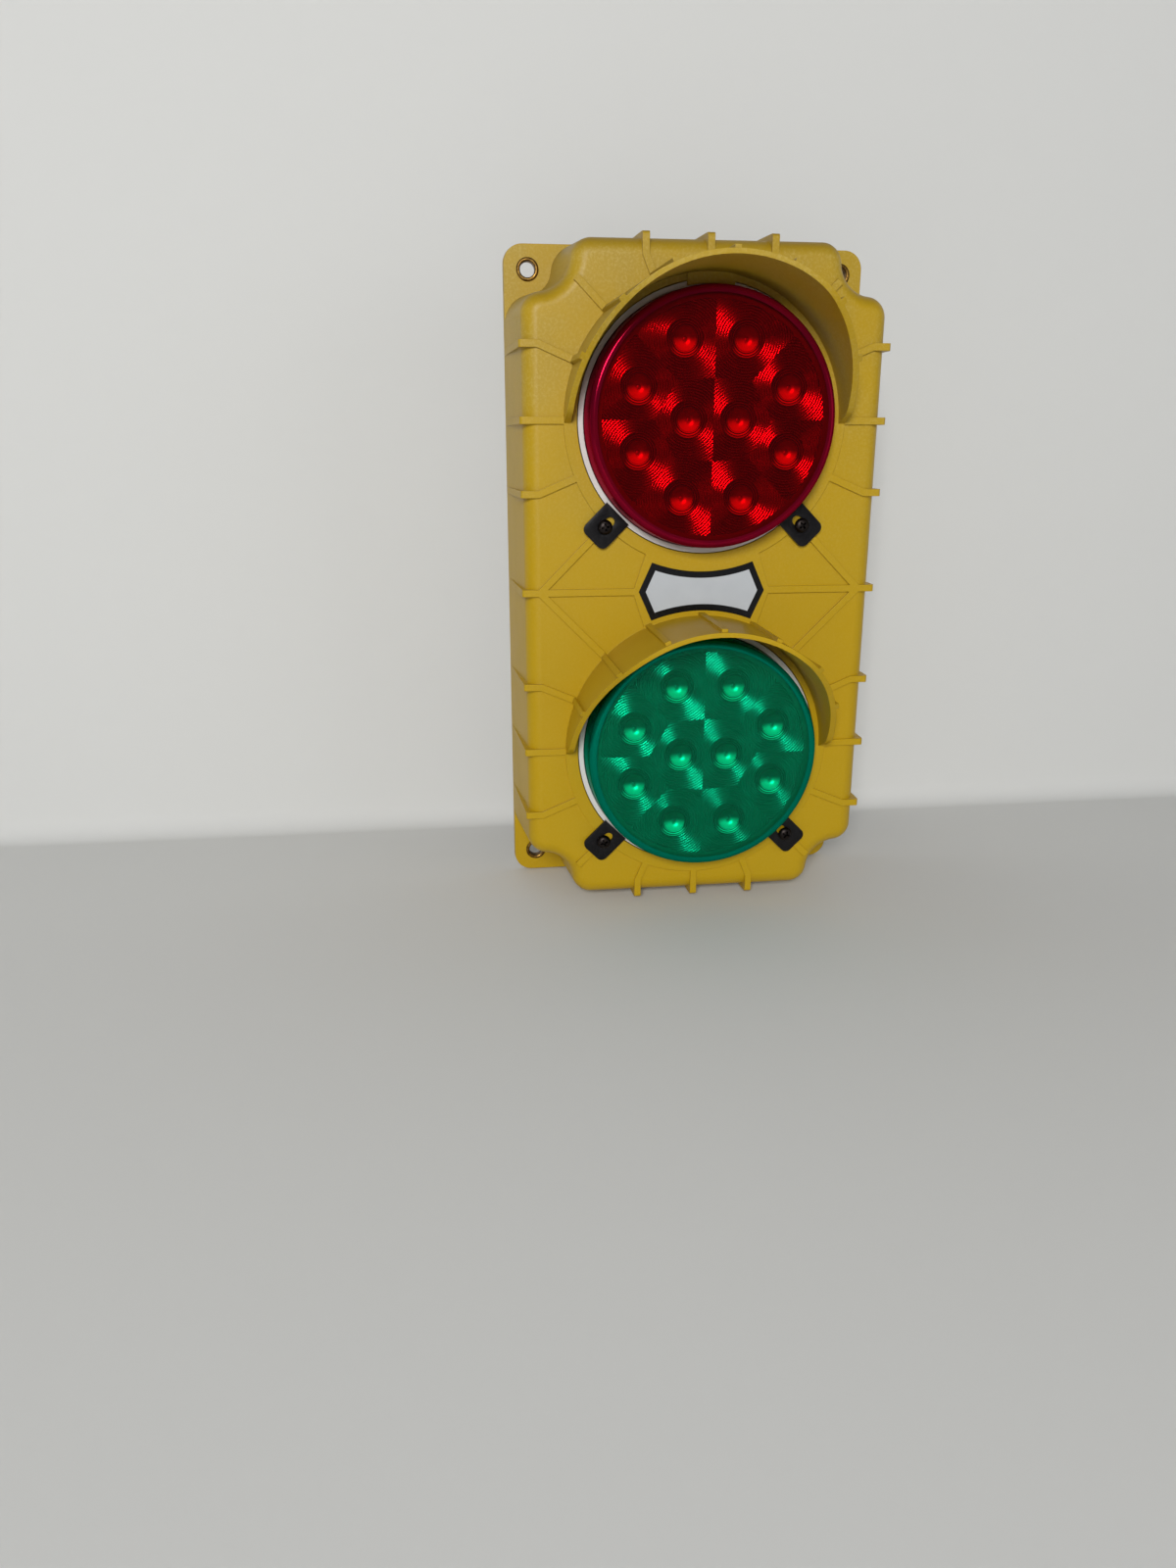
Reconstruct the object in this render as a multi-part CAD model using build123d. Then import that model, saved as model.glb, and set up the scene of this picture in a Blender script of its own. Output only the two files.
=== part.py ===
from build123d import *
import math
import os

# Every size is in millimetres.
# The light is modelled lying on its back: X to the right, Y up the face, Z out of the wall.
# stand_up() then turns it so that the front faces -Y and +Z is up, with the wall plane at Y = 0.

# Housing shell
housing_width = 165.4
housing_height = 295.8
face_height = 51.7
draft_angle = 5.0
wall_thickness = 3.0
face_edge_radius = 7.0
ear_margin = 10.8
ear_thickness = 3.5
ear_corner_radius = 8.5
recess_radius = 10.1
shoulder_radius = 12.9
cavity_overrun = 1.0

# Lamp lens, and the ten optic cells inside it
lens_radius = 53.2
lens_proud = 14.5
lens_wall = 2.4
lens_draft = 2.5
lens_edge_radius = 2.2
lens_seat_depth = 3.0
lens_clearance = 0.1
optic_dome_radius = 6.0
optic_dome_height = 1.6
optic_step_radius = 7.4
optic_step_height = 0.7
outer_row_y = 31.5
outer_row_x = 12.9
side_row_y = 12.9
side_row_x = 31.8
middle_row_x = 10.6

# Lamp base and its rear receptacle
flange_rim = 2.2
flange_thickness = 5.7
cup_rim_step = 5.9
cup_wall = 2.4
cup_depth = 25.0
board_shelf_width = 2.2
board_thickness = 1.6
board_below_flange = 12.0
board_clearance = 0.3
led_body = 5.0
led_body_height = 1.2
led_window_radius = 2.0
led_window_height = 0.8
led_window_edge = 0.5
receptacle_radius = 14.0
receptacle_length = 9.0
receptacle_wall = 2.0
contact_spacing = 11.0
contact_width = 4.0
contact_thickness = 1.2
contact_length = 11.0
contact_stub = 1.0
contact_tip_radius = 1.0

# Seats for the lamps in the housing
lamp_clearance = 0.4
cup_clearance = 0.9
seat_thickness = 3.0
sleeve_wall = 3.0

# Raised pattern on the face
pattern_height = 1.0
pattern_root = 1.0
ring_width = 5.6
ring_gap = 21.6
ring_overlap = 1.0
rib_width = 3.0
rib_bend_margin = 10.4
radial_rib_angle = 22.7
diagonal_rib_angle = 45.0
corner_rib_length = 17.5
side_fin_setback = 2.6
end_fin_setback = 2.1
end_fin_x = 27.2
fin_tip_radius = 1.5
fin_root_depth = 2.0

# Visors
visor_depth = 46.0
visor_root_wall = 3.0
visor_root_step = 0.1
visor_rim_wall = 2.0
visor_rim_setback = 0.8
visor_heel_drop = 1.5
visor_step_y = 3.0
visor_step_height = 11.0
visor_brow_drop = 12.2
visor_heel_radius = 10.0
visor_brow_radius = 18.0
visor_fin_width = 2.6
visor_fin_height = 1.4
visor_fin_setback = 1.2
tab_width = 20.0
tab_thickness = 1.5
tab_clearance = 0.7

# Retaining clips and their screws
clip_clearance = 1.0
clip_length = 16.0
clip_width = 13.4
clip_thickness = 1.5
clip_corner_radius = 3.0
clip_slot_width = 4.2
clip_slot_length = 8.4
clip_slot_margin = 2.8
screw_beyond_ring = 0.7
screw_head_radius = 3.2
screw_head_height = 2.2
screw_head_edge = 0.9
screw_shank_radius = 1.75
screw_length = 12.0
screw_recess_width = 0.9
screw_recess_span = 3.6
screw_recess_depth = 1.3
boss_radius = 4.3
boss_floor = 2.0
boss_hole_clearance = 0.05
boss_hole_overrun = 0.5

# Wall-hole bushings
bushing_bore_radius = 3.3
bushing_wall = 0.6
bushing_flange_width = 1.1
bushing_flange_height = 0.9
bushing_flange_edge = 0.4
bushing_clearance = 0.1

# Label plate and the raised pad under it
label_corner_x = 22.7
label_tip_x = 28.5
label_edge_gap = 2.2
label_thickness = 0.3
label_pad_margin = 2.6

# Cross wall behind the face
cross_wall_thickness = 2.2
cross_wall_depth = 22.0
wire_gap_width = 40.0
wire_gap_depth = 12.0

# Places that follow from the sizes above
hole_x = housing_width / 2 - ear_margin
hole_y = housing_height / 2 - ear_margin
pattern_top = face_height + pattern_height
flange_radius = lens_radius + lens_clearance + flange_rim
opening_radius = flange_radius + lamp_clearance
cup_radius = flange_radius - cup_rim_step
board_radius = cup_radius - cup_wall - board_clearance
seat_top = pattern_top - flange_thickness
seat_bottom = seat_top - seat_thickness
cup_bottom = seat_top - cup_depth
board_bottom = seat_top - board_below_flange
ring_radius = opening_radius + ring_width
lamp_y = ring_radius + ring_gap / 2
rim_radius = ring_radius - visor_rim_setback
clip_start = lens_radius + clip_clearance
screw_reach = ring_radius + screw_beyond_ring
bushing_radius = bushing_bore_radius + bushing_wall
bend_x = housing_width / 2 - rib_bend_margin
bend_y = lamp_y + end_fin_x / math.tan(math.radians(radial_rib_angle))
clip_angles = (-45.0, -135.0)
signs = (1, -1)
upward = (Align.CENTER, Align.CENTER, Align.MIN)
downward = (Align.CENTER, Align.CENTER, Align.MAX)


def stand_up(shape):
    return Rot(90, 0, 0) * shape


def unit(x, y):
    length = math.hypot(x, y)
    return (x / length, y / length)


def on_circle(centre, radius, direction):
    return (centre[0] + radius * direction[0], centre[1] + radius * direction[1])


def arc_about(centre, radius, start, end):
    # The short arc between two directions seen from the centre
    middle = unit(start[0] + end[0], start[1] + end[1])
    return ThreePointArc(
        on_circle(centre, radius, start),
        on_circle(centre, radius, middle),
        on_circle(centre, radius, end),
    )


# Plan of the drafted box: each corner steps back round an ear in one concave and two convex arcs
def box_outline(inset):
    half_w = housing_width / 2 - inset
    half_h = housing_height / 2 - inset
    shoulder = shoulder_radius - inset
    recess = recess_radius + inset
    reach = shoulder + recess
    side_y = hole_y - math.sqrt(reach ** 2 - (half_w - shoulder - hole_x) ** 2)
    end_x = hole_x - math.sqrt(reach ** 2 - (half_h - shoulder - hole_y) ** 2)
    edges = []
    for sx in signs:
        edges.append(Line((sx * half_w, -side_y), (sx * half_w, side_y)))
        edges.append(Line((-end_x, sx * half_h), (end_x, sx * half_h)))
        for sy in signs:
            hole = (sx * hole_x, sy * hole_y)
            side_centre = (sx * (half_w - shoulder), sy * side_y)
            end_centre = (sx * end_x, sy * (half_h - shoulder))
            to_side = unit(side_centre[0] - hole[0], side_centre[1] - hole[1])
            to_end = unit(end_centre[0] - hole[0], end_centre[1] - hole[1])
            edges.append(arc_about(side_centre, shoulder, (sx, 0), (-to_side[0], -to_side[1])))
            edges.append(arc_about(hole, recess, to_side, to_end))
            edges.append(arc_about(end_centre, shoulder, (-to_end[0], -to_end[1]), (0, sy)))
    return make_face(edges)


def drafted_box(inset, height, edge_radius):
    box = extrude(box_outline(inset), amount=height, taper=draft_angle)
    front_edges = box.edges().group_by(Axis.Z)[-1]
    return fillet(front_edges, radius=edge_radius)


def ear_plate():
    plate = RectangleRounded(housing_width, housing_height, ear_corner_radius)
    return extrude(plate, amount=ear_thickness, taper=draft_angle)


# A straight strip of the raised pattern between two points of the face
def strip(start, end):
    length = math.hypot(end[0] - start[0], end[1] - start[1])
    angle = math.degrees(math.atan2(end[1] - start[1], end[0] - start[0]))
    bar = Rectangle(length, rib_width, align=(Align.MIN, Align.CENTER))
    return Pos(start[0], start[1]) * Rot(0, 0, angle) * bar


def bend_pad(point):
    return Pos(point[0], point[1]) * Circle(rib_width / 2)


def polar(centre_y, radius, angle):
    turn = math.radians(angle)
    return (radius * math.cos(turn), centre_y + radius * math.sin(turn))


# Fin that carries a rib over the rounded edge and fades out at the wall plane
def edge_fin(tip, foot, root):
    profile = Polygon(
        (root, face_height - fin_root_depth),
        (root, pattern_top),
        (tip, pattern_top),
        (foot, 0),
        (foot - wall_thickness / 2, 0),
        align=None,
    )
    corner = profile.vertices().sort_by(Axis.Y)[-2:].sort_by(Axis.X)[-1]
    profile = fillet(corner, radius=fin_tip_radius)
    return Plane.XZ * extrude(profile, amount=rib_width / 2, both=True)


def side_rib_levels():
    rise = bend_x * math.tan(math.radians(radial_rib_angle))
    levels = [0.0]
    for sy in signs:
        for step in (-rise, 0.0, rise):
            levels.append(sy * lamp_y + step)
    return levels


# Rings, ribs and label pad drawn flat, then raised in one go
def pattern_sketch():
    start_radius = ring_radius - ring_overlap
    sketch = label_outline(start_radius, label_pad_margin)
    for sy in signs:
        centre_y = sy * lamp_y
        sketch += Pos(0, centre_y) * Circle(ring_radius)
        sketch += strip((0, centre_y + sy * start_radius), (0, sy * bend_y))
        for angle in clip_angles:
            sketch += Pos(*polar(centre_y, screw_reach, angle)) * Circle(boss_radius)
        for sx in signs:
            sketch += strip(polar(centre_y, start_radius, 90 - 90 * sx), (sx * bend_x, centre_y))
            for tilt in (radial_rib_angle, -radial_rib_angle):
                start = polar(centre_y, start_radius, 90 - sx * (90 - tilt))
                bend = (sx * bend_x, centre_y + bend_x * math.tan(math.radians(tilt)))
                sketch += strip(start, bend)
                sketch += bend_pad(bend)
            inner_angle = 90 - sx * (90 + sy * diagonal_rib_angle)
            sketch += strip(polar(centre_y, start_radius, inner_angle), (sx * bend_x, 0))
            outer_angle = 90 - sx * (90 - sy * diagonal_rib_angle)
            outer_end = polar(centre_y, ring_radius + corner_rib_length, outer_angle)
            sketch += strip(polar(centre_y, start_radius, outer_angle), outer_end)
            bend = (sx * end_fin_x, sy * bend_y)
            start = polar(centre_y, start_radius, sy * 90 - sx * sy * radial_rib_angle)
            sketch += strip(start, bend)
            sketch += bend_pad(bend)
    for sx in signs:
        sketch += strip((sx * label_corner_x, 0), (sx * bend_x, 0))
        sketch += bend_pad((sx * bend_x, 0))
    return sketch


def raised_pattern():
    return Pos(0, 0, face_height - pattern_root) * extrude(
        pattern_sketch(), amount=pattern_height + pattern_root
    )


def edge_fins():
    pieces = []
    side_fin = edge_fin(housing_width / 2 - side_fin_setback, housing_width / 2, bend_x)
    for level in side_rib_levels():
        for turn in (0, 180):
            pieces.append(Pos(0, level, 0) * Rot(0, 0, turn) * side_fin)
    end_fin = edge_fin(housing_height / 2 - end_fin_setback, housing_height / 2, bend_y)
    for x in (-end_fin_x, 0.0, end_fin_x):
        for turn in (90, -90):
            pieces.append(Pos(x, 0, 0) * Rot(0, 0, turn) * end_fin)
    return pieces


# Outline between the two rings: arcs at top and bottom, a blunt point at each side
def label_outline(arc_radius, margin):
    corner_x = label_corner_x + margin
    tip_x = label_tip_x + margin
    corner_y = lamp_y - math.sqrt(arc_radius ** 2 - corner_x ** 2)
    edges = []
    for sy in signs:
        top_arc = ThreePointArc(
            (-corner_x, sy * corner_y),
            (0, sy * (lamp_y - arc_radius)),
            (corner_x, sy * corner_y),
        )
        edges.append(top_arc)
        for sx in signs:
            edges.append(Line((sx * corner_x, sy * corner_y), (sx * tip_x, 0)))
    return make_face(edges)


# Side view of a visor, which gives its brow, its slanting ends and its low heel
def visor_side_mask():
    top = face_height + visor_depth
    far = ring_radius * 2
    brow_y = rim_radius - visor_brow_drop
    step = (visor_step_y, face_height + visor_step_height)
    brow = (brow_y, top)
    profile = Polygon(
        (-visor_heel_drop, 0),
        (-visor_heel_drop, face_height),
        step,
        brow,
        (far, top),
        (far, 0),
        align=None,
    )
    profile = fillet(profile.vertices().sort_by_distance(step)[0], radius=visor_heel_radius)
    profile = fillet(profile.vertices().sort_by_distance(brow)[0], radius=visor_brow_radius)
    return Plane.YZ * extrude(profile, amount=far, both=True)


def visor_fin_angles():
    angles = [90.0]
    for side in (0.0, 180.0):
        toward_top = 90.0 - side
        for step in (radial_rib_angle, diagonal_rib_angle, 90.0 - radial_rib_angle):
            angles.append(side + math.copysign(step, toward_top))
    return angles


# A hood turned round the lamp, with thin fins that carry the ribs up its back
def make_visor():
    top = face_height + visor_depth
    bottom = face_height - pattern_root
    wall = Polygon(
        (ring_radius - visor_root_wall, bottom),
        (ring_radius - visor_root_step, bottom),
        (rim_radius, top),
        (rim_radius - visor_rim_wall, top),
        align=None,
    )
    fin_top = top - visor_fin_setback
    fin_profile = Polygon(
        (ring_radius - visor_root_wall / 2, bottom),
        (ring_radius + visor_fin_height, bottom),
        (rim_radius + visor_fin_height, fin_top),
        (rim_radius - visor_rim_wall / 2, fin_top),
        align=None,
    )
    fin = Plane.XZ * extrude(fin_profile, amount=visor_fin_width / 2, both=True)
    hood = revolve(Plane.XZ * wall, axis=Axis.Z)
    for angle in visor_fin_angles():
        hood += Rot(0, 0, angle) * fin
    return hood & visor_side_mask()


# Tab that holds the top edge of a lamp from the front
def lamp_tab():
    band = Cylinder(ring_radius - visor_root_wall / 2, tab_thickness, align=upward)
    band -= Cylinder(lens_radius + tab_clearance, tab_thickness, align=upward)
    window = Box(tab_width, ring_radius, tab_thickness, align=(Align.CENTER, Align.MIN, Align.MIN))
    return Pos(0, 0, pattern_top) * (band & window)


def lamp_sleeve():
    height = face_height - seat_bottom
    return Pos(0, 0, seat_bottom) * Cylinder(opening_radius + sleeve_wall, height, align=upward)


def lamp_bore():
    bore = Cylinder(cup_radius + cup_clearance, pattern_top, align=upward)
    bore += Pos(0, 0, seat_top) * Cylinder(opening_radius, flange_thickness, align=upward)
    return bore


def clip_post():
    height = screw_length - clip_thickness + boss_floor
    return Pos(0, 0, pattern_top) * Cylinder(boss_radius, height, align=downward)


def clip_hole():
    radius = screw_shank_radius + boss_hole_clearance
    depth = screw_length - clip_thickness + boss_hole_overrun
    return Pos(0, 0, pattern_top) * Cylinder(radius, depth, align=downward)


def clip_screw_place(angle):
    return Pos(*polar(0, screw_reach, angle), 0)


# Wall across the inside, between the lamps, with a gap in it for the wires
def cross_wall():
    wall = Box(housing_width, cross_wall_thickness, cross_wall_depth, align=upward)
    gap = Box(wire_gap_width, cross_wall_thickness, wire_gap_depth, align=upward)
    within = drafted_box(wall_thickness / 2, face_height - wall_thickness / 2, face_edge_radius / 2)
    return (Pos(0, 0, face_height - cross_wall_depth) * (wall - gap)) & within


def cavity():
    draft_run = cavity_overrun * math.tan(math.radians(draft_angle))
    height = face_height - wall_thickness + cavity_overrun
    space = drafted_box(wall_thickness - draft_run, height, face_edge_radius - wall_thickness)
    return Pos(0, 0, -cavity_overrun) * space


def make_housing():
    body = drafted_box(0, face_height, face_edge_radius) + ear_plate()
    body += raised_pattern()
    body += edge_fins()
    for sy in signs:
        body += Pos(0, sy * lamp_y, 0) * make_visor()
    body -= cavity()
    body += cross_wall()
    for sy in signs:
        place = Pos(0, sy * lamp_y, 0)
        body += place * lamp_sleeve()
        for angle in clip_angles:
            body += place * clip_screw_place(angle) * clip_post()
        body -= place * lamp_bore()
        for angle in clip_angles:
            body -= place * clip_screw_place(angle) * clip_hole()
        body += place * lamp_tab()
    hole = Cylinder(bushing_radius + bushing_clearance, ear_thickness, align=upward)
    for sx in signs:
        for sy in signs:
            body -= Pos(sx * hole_x, sy * hole_y, 0) * hole
    return body


def make_bushing():
    height = ear_thickness + bushing_flange_height
    flange = Cylinder(bushing_radius + bushing_flange_width, bushing_flange_height, align=upward)
    body = Cylinder(bushing_radius, height, align=upward) + Pos(0, 0, ear_thickness) * flange
    body -= Cylinder(bushing_bore_radius, height, align=upward)
    return chamfer(body.edges().group_by(Axis.Z)[-1], length=bushing_flange_edge)


def cell_places():
    places = []
    for sy in signs:
        for sx in signs:
            places.append((sx * outer_row_x, sy * outer_row_y))
            places.append((sx * side_row_x, sy * side_row_y))
    for sx in signs:
        places.append((sx * middle_row_x, 0.0))
    return places


# Domed optic on a low step, which stands on the inside of the lens over each light source
def optic_cell():
    ball_radius = (optic_dome_radius ** 2 + optic_dome_height ** 2) / (2 * optic_dome_height)
    ball = Pos(0, 0, ball_radius - optic_dome_height) * Sphere(ball_radius)
    dome = ball & Cylinder(optic_dome_radius, optic_dome_height, align=downward)
    step = Cylinder(optic_step_radius, optic_step_height, align=downward)
    return step + Pos(0, 0, -optic_step_height) * dome


def make_lens():
    height = lens_proud + lens_seat_depth
    floor = height - lens_wall
    body = extrude(Circle(lens_radius), amount=height, taper=lens_draft)
    body = fillet(body.edges().group_by(Axis.Z)[-1], radius=lens_edge_radius)
    body -= extrude(Circle(lens_radius - lens_wall), amount=floor, taper=lens_draft)
    for x, y in cell_places():
        body += Pos(x, y, floor) * optic_cell()
    return Pos(0, 0, pattern_top - lens_seat_depth) * body


def make_lamp_base():
    body = Pos(0, 0, seat_top) * Cylinder(flange_radius, flange_thickness, align=upward)
    body += Pos(0, 0, cup_bottom) * Cylinder(cup_radius, cup_depth, align=upward)
    body += Pos(0, 0, cup_bottom) * Cylinder(receptacle_radius, receptacle_length, align=downward)
    lens_pocket = Cylinder(lens_radius + lens_clearance, lens_seat_depth, align=downward)
    body -= Pos(0, 0, pattern_top) * lens_pocket
    inner_radius = cup_radius - cup_wall
    body -= Pos(0, 0, board_bottom) * Cylinder(inner_radius, pattern_top - board_bottom, align=upward)
    lower_radius = inner_radius - board_shelf_width
    floor_top = cup_bottom + cup_wall
    body -= Pos(0, 0, floor_top) * Cylinder(lower_radius, board_bottom - floor_top, align=upward)
    socket_radius = receptacle_radius - receptacle_wall
    body -= Pos(0, 0, cup_bottom) * Cylinder(socket_radius, receptacle_length, align=downward)
    slot = Box(contact_thickness, contact_width, cup_wall, align=upward)
    for sx in signs:
        body -= Pos(sx * contact_spacing / 2, 0, cup_bottom) * slot
    return body


def make_board():
    return Pos(0, 0, board_bottom) * Cylinder(board_radius, board_thickness, align=upward)


def make_led():
    body = Box(led_body, led_body, led_body_height, align=upward)
    window = Cylinder(led_window_radius, led_window_height, align=upward)
    window = chamfer(window.edges().group_by(Axis.Z)[-1], length=led_window_edge)
    body += Pos(0, 0, led_body_height) * window
    return Pos(0, 0, board_bottom + board_thickness) * body


def make_contact():
    blade = Box(contact_thickness, contact_width, contact_length, align=downward)
    tip_edges = blade.edges().filter_by(Axis.X).group_by(Axis.Z)[0]
    blade = fillet(tip_edges, radius=contact_tip_radius)
    return Pos(0, 0, cup_bottom + cup_wall + contact_stub) * blade


# The clip lies along X here, reaching outward from the lamp centre
def make_clip():
    plate = Box(clip_length, clip_width, clip_thickness, align=(Align.MIN, Align.CENTER, Align.MIN))
    outer_corners = plate.edges().filter_by(Axis.Z).group_by(Axis.X)[-1]
    plate = fillet(outer_corners, radius=clip_corner_radius)
    slot = extrude(SlotOverall(clip_slot_length, clip_slot_width), amount=clip_thickness)
    plate -= Pos(clip_slot_margin + clip_slot_length / 2, 0, 0) * slot
    return Pos(clip_start, 0, pattern_top) * plate


def make_clip_screw():
    head = Cylinder(screw_head_radius, screw_head_height, align=upward)
    head = chamfer(head.edges().group_by(Axis.Z)[-1], length=screw_head_edge)
    cut = Box(screw_recess_span, screw_recess_width, screw_recess_depth, align=downward)
    for turn in (0, 90):
        head -= Rot(0, 0, turn) * Pos(0, 0, screw_head_height) * cut
    shank = Cylinder(screw_shank_radius, screw_length, align=downward)
    return Pos(0, 0, pattern_top + clip_thickness) * (head + shank)


def make_label():
    outline = label_outline(ring_radius + label_edge_gap, 0)
    return Pos(0, 0, pattern_top) * extrude(outline, amount=label_thickness)


def write(shape, name):
    export_step(stand_up(shape), "parts/" + name + ".step")


os.makedirs("parts", exist_ok=True)

write(make_housing(), "housing")
write(make_label(), "label")

bushing = make_bushing()
for sx, side in ((-1, "left"), (1, "right")):
    for sy, level in ((1, "top"), (-1, "bottom")):
        write(Pos(sx * hole_x, sy * hole_y, 0) * bushing, "bushing_" + level + "_" + side)

lens = make_lens()
lamp_base = make_lamp_base()
board = make_board()
led = make_led()
contact = make_contact()
clip = make_clip()
clip_screw = make_clip_screw()
for colour, sy in (("red", 1), ("green", -1)):
    place = Pos(0, sy * lamp_y, 0)
    write(place * lens, colour + "_lens")
    write(place * lamp_base, colour + "_lamp_base")
    write(place * board, colour + "_led_board")
    for number, (x, y) in enumerate(cell_places(), start=1):
        write(place * Pos(x, y, 0) * led, colour + "_led_" + str(number))
    for side, sx, angle in (("right", 1, clip_angles[0]), ("left", -1, clip_angles[1])):
        write(place * Pos(sx * contact_spacing / 2, 0, 0) * contact, colour + "_contact_" + side)
        write(place * Rot(0, 0, angle) * clip, colour + "_clip_" + side)
        write(place * clip_screw_place(angle) * clip_screw, colour + "_clip_screw_" + side)
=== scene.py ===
import math

import bmesh
import bpy
from mathutils import Matrix, Vector


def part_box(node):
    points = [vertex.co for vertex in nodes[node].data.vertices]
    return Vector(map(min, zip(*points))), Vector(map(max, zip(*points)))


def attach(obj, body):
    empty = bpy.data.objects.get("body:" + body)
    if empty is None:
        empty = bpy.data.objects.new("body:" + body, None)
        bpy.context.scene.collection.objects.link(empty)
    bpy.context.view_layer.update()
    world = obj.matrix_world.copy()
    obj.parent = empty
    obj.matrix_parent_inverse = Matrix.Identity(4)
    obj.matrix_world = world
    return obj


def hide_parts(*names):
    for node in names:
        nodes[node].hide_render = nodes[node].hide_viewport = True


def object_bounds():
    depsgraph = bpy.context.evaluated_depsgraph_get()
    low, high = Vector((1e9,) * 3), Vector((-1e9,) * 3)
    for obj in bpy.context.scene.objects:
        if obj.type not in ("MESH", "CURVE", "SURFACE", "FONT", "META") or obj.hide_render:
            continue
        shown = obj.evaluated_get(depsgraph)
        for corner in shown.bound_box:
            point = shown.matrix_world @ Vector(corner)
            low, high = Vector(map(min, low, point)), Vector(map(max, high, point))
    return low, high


# Dock signal: a yellow housing with a red lamp over a green one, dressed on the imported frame.
# Pieces are drawn lying on their backs in millimetres (x right, y up the face, z out of the wall)
# and then stood up into the frame, which is in metres with its front towards -Y.

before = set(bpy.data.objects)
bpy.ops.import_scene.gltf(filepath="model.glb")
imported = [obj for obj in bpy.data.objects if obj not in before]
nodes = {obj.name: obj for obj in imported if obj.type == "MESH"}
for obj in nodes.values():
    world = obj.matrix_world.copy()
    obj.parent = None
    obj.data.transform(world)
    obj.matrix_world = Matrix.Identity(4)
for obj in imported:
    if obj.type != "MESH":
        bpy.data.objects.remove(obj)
cadLow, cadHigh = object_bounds()

standUp = Matrix.Rotation(math.radians(90), 4, "X") @ Matrix.Scale(0.001, 4)
weldMm = 1e-4
cutMm = 1e-5
flatFacing = 0.999


def lyingBox(name):
    # a node's box in lying millimetres: lowest corner, highest corner
    low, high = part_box(name)
    return (
        Vector((low.x, low.z, -high.y)) * 1000,
        Vector((high.x, high.z, -low.y)) * 1000,
    )


def toMesh(name, bm):
    mesh = bpy.data.meshes.new(name)
    bm.to_mesh(mesh)
    bm.free()
    return mesh


def linkedObject(name, data):
    thing = bpy.data.objects.new(name, data)
    bpy.context.scene.collection.objects.link(thing)
    return thing


def meshObject(name, bm, sharpAngle=35.0):
    # finished mesh: stood up, smooth with its hard edges kept
    bm.transform(standUp)
    for face in bm.faces:
        face.smooth = True
    for edge in bm.edges:
        edge.smooth = not (edge.is_manifold and edge.calc_face_angle(0) > math.radians(sharpAngle))
    return linkedObject(name, toMesh(name, bm))


def lathe(bm, profile, steps):
    # turns a list of (radius, height) points round the vertical axis
    columns = []
    for i in range(steps):
        turn = 2 * math.pi * i / steps
        columns.append([
            bm.verts.new((r * math.cos(turn), r * math.sin(turn), z))
            for r, z in profile
        ])
    for i in range(steps):
        near, far = columns[i], columns[(i + 1) % steps]
        for k in range(len(profile) - 1):
            bm.faces.new((near[k], far[k], far[k + 1], near[k + 1]))
    bmesh.ops.remove_doubles(bm, verts=[vert for column in columns for vert in column], dist=weldMm)


def arcPoints(centre, radius, startAngle, endAngle, count):
    # angles in degrees, both ends included
    points = []
    for i in range(count + 1):
        turn = math.radians(startAngle + (endAngle - startAngle) * i / count)
        points.append((centre[0] + radius * math.cos(turn), centre[1] + radius * math.sin(turn)))
    return points


# Nodes and colours

def addNode(tree, kind, inputs=None, **settings):
    node = tree.nodes.new(kind)
    for key, value in settings.items():
        setattr(node, key, value)
    for key, value in (inputs or {}).items():
        if isinstance(value, bpy.types.NodeSocket):
            tree.links.new(value, node.inputs[key])
        else:
            node.inputs[key].default_value = value
    return node


def linearColour(hexText):
    channels = [int(hexText[i:i + 2], 16) / 255 for i in (1, 3, 5)]
    return [c / 12.92 if c <= 0.04045 else ((c + 0.055) / 1.055) ** 2.4 for c in channels] + [1.0]


def startMaterial(name):
    material = bpy.data.materials.new(name)
    material.use_nodes = True
    tree = material.node_tree
    return material, tree, tree.nodes["Principled BSDF"]


# Geometry Nodes: a tree with named inputs, and the plain mesh that it grows

def startTree(name, sockets):
    tree = bpy.data.node_groups.new(name, "GeometryNodeTree")
    tree.interface.new_socket(name="Geometry", in_out="OUTPUT", socket_type="NodeSocketGeometry")
    for label, kind in sockets.items():
        tree.interface.new_socket(name=label, in_out="INPUT", socket_type="NodeSocket" + kind)
    return tree, tree.nodes.new("NodeGroupInput").outputs, tree.nodes.new("NodeGroupOutput")


def grow(tree, values, start=None):
    holder = linkedObject("holder", start or bpy.data.meshes.new("holder"))
    modifier = holder.modifiers.new("grow", "NODES")
    modifier.node_group = tree
    for item in tree.interface.items_tree:
        if item.in_out == "INPUT" and item.name in values:
            modifier[item.identifier] = values[item.name]
    depsgraph = bpy.context.evaluated_depsgraph_get()
    mesh = bpy.data.meshes.new_from_object(holder.evaluated_get(depsgraph), depsgraph=depsgraph)
    holder.modifiers.remove(modifier)
    bpy.data.objects.remove(holder)
    return mesh


def copiesTree():
    # one part set down at every point of the start mesh, turned by the point's own "turn"
    tree, given, end = startTree("placedCopies", {
        "Points": "Geometry", "Part": "Object", "Finish": "Material"})
    part = addNode(tree, "GeometryNodeObjectInfo", {"Object": given["Part"]})
    turn = addNode(tree, "GeometryNodeInputNamedAttribute", {"Name": "turn"}, data_type="FLOAT")
    spin = addNode(tree, "ShaderNodeCombineXYZ", {"Z": turn.outputs["Attribute"]})
    copies = addNode(tree, "GeometryNodeInstanceOnPoints", {
        "Points": given["Points"], "Instance": part.outputs["Geometry"],
        "Rotation": spin.outputs["Vector"]})
    real = addNode(tree, "GeometryNodeRealizeInstances", {"Geometry": copies.outputs["Instances"]})
    finish = addNode(tree, "GeometryNodeSetMaterial", {
        "Geometry": real.outputs["Geometry"], "Material": given["Finish"]})
    tree.links.new(finish.outputs["Geometry"], end.inputs["Geometry"])
    return tree


copies = copiesTree()


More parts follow.
